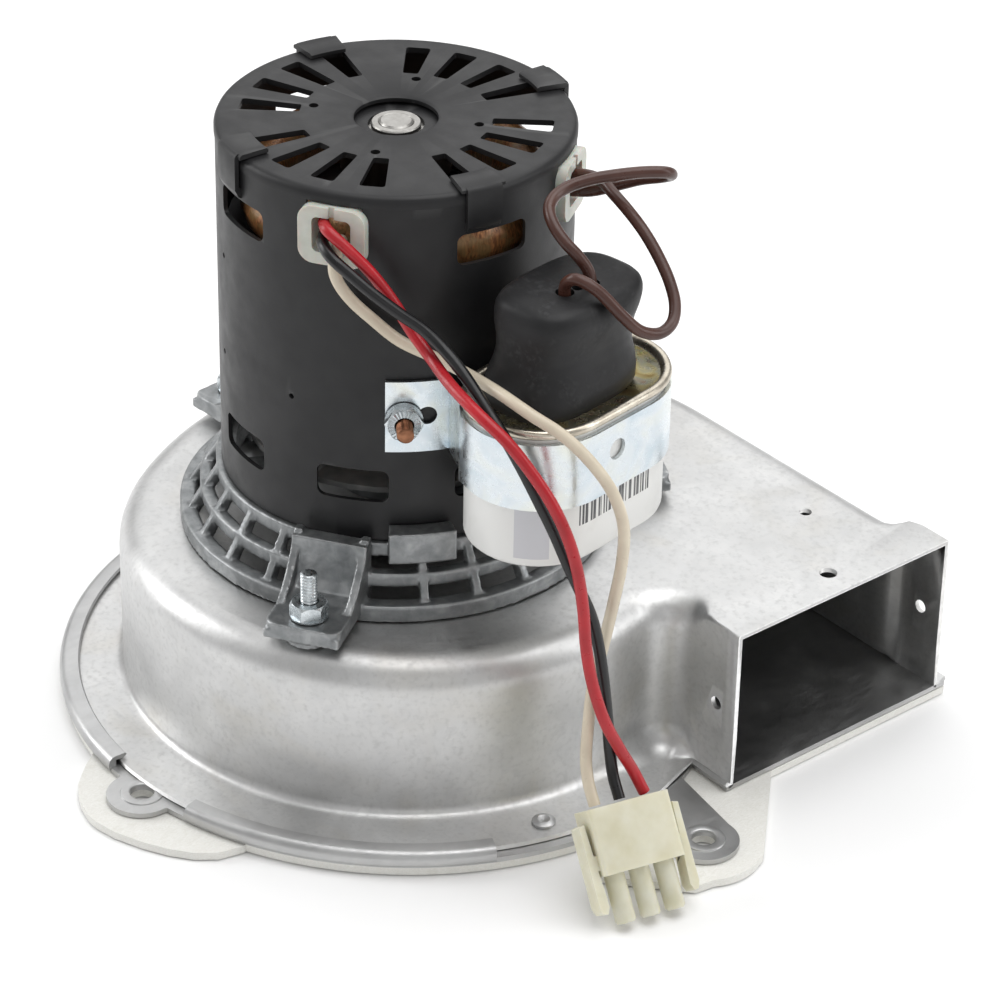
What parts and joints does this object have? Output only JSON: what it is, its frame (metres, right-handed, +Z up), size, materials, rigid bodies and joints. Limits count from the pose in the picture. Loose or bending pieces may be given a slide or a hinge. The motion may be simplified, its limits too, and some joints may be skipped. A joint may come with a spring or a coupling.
{
  "type": "combustion fan",
  "caption": "Draft inducer blower for a gas furnace: upright motor on a cast bracket over a sheet scroll housing, with run capacitor and plug lead.",
  "frame": {"origin": "centre of the bounding box at its base, the seating face of the gasket, with the leads and plug left out", "axes": "+Z up along the motor shaft, away from the seating face; +X the way the outlet duct blows; +Y towards the duct side"},
  "size_m": [0.2061, 0.198, 0.1543],
  "materials": {
    "gasket_fibre": "matte white fibre board",
    "galvanised": "satin galvanised sheet",
    "cast_zinc": "rough grey zinc die casting",
    "bright_zinc": "bright blue-white zinc plate",
    "black_paint": "satin black paint",
    "lamination": "varnished steel laminations",
    "copper_winding": "varnished copper wire",
    "steel": "ground steel",
    "aluminium": "plain aluminium",
    "can_wrap": "white wrapped can",
    "champagne_lid": "gold passivated lid",
    "black_rubber": "matte black rubber",
    "brass": "plain brass",
    "nylon": "natural nylon",
    "white_wire": "off-white insulation",
    "red_wire": "red insulation",
    "black_wire": "black insulation",
    "brown_wire": "brown insulation"
  },
  "bodies": {
    "frame": {"gasket": "gasket_fibre", "back_plate": "galvanised", "scroll_housing": "galvanised", "rivet_1": "galvanised", "rivet_2": "galvanised", "motor_bracket": "cast_zinc", "bracket_stud_1": "bright_zinc", "bracket_nut_1": "bright_zinc", "bracket_stud_2": "bright_zinc", "bracket_nut_2": "bright_zinc", "bracket_stud_3": "bright_zinc", "bracket_nut_3": "bright_zinc", "motor_shell": "black_paint", "end_cap": "black_paint", "stator_core": "lamination", "winding_upper": "copper_winding", "winding_lower": "copper_winding", "upper_bearing": "steel", "lower_bearing": "steel", "capacitor_can": "can_wrap", "capacitor_lid": "champagne_lid", "capacitor_boot": "black_rubber", "terminal_1": "brass", "terminal_2": "brass", "capacitor_strap": "bright_zinc", "strap_stud_1": "brass", "strap_stud_2": "brass", "strap_nut_1": "bright_zinc", "strap_nut_2": "bright_zinc", "lead_grommet": "nylon", "capacitor_grommet": "nylon", "lead_white": "white_wire", "lead_red": "red_wire", "lead_black": "black_wire", "capacitor_wire_1": "brown_wire", "capacitor_wire_2": "brown_wire", "plug_housing": "nylon", "plug_pin_1": "brass", "plug_pin_2": "brass", "plug_pin_3": "brass"},
    "rotor": {"shaft": "steel", "rotor_core": "lamination", "cooling_fan": "aluminium", "heat_slinger": "aluminium", "impeller": "galvanised", "set_screw": "steel"}
  },
  "joints": [
    {"name": "rotor_spin", "type": "hinge", "parent": "frame", "child": "rotor", "pos_m": [-0.01874, -0.00051, 0.1], "axis": [0, 0, 1], "continuous": true}
  ]
}
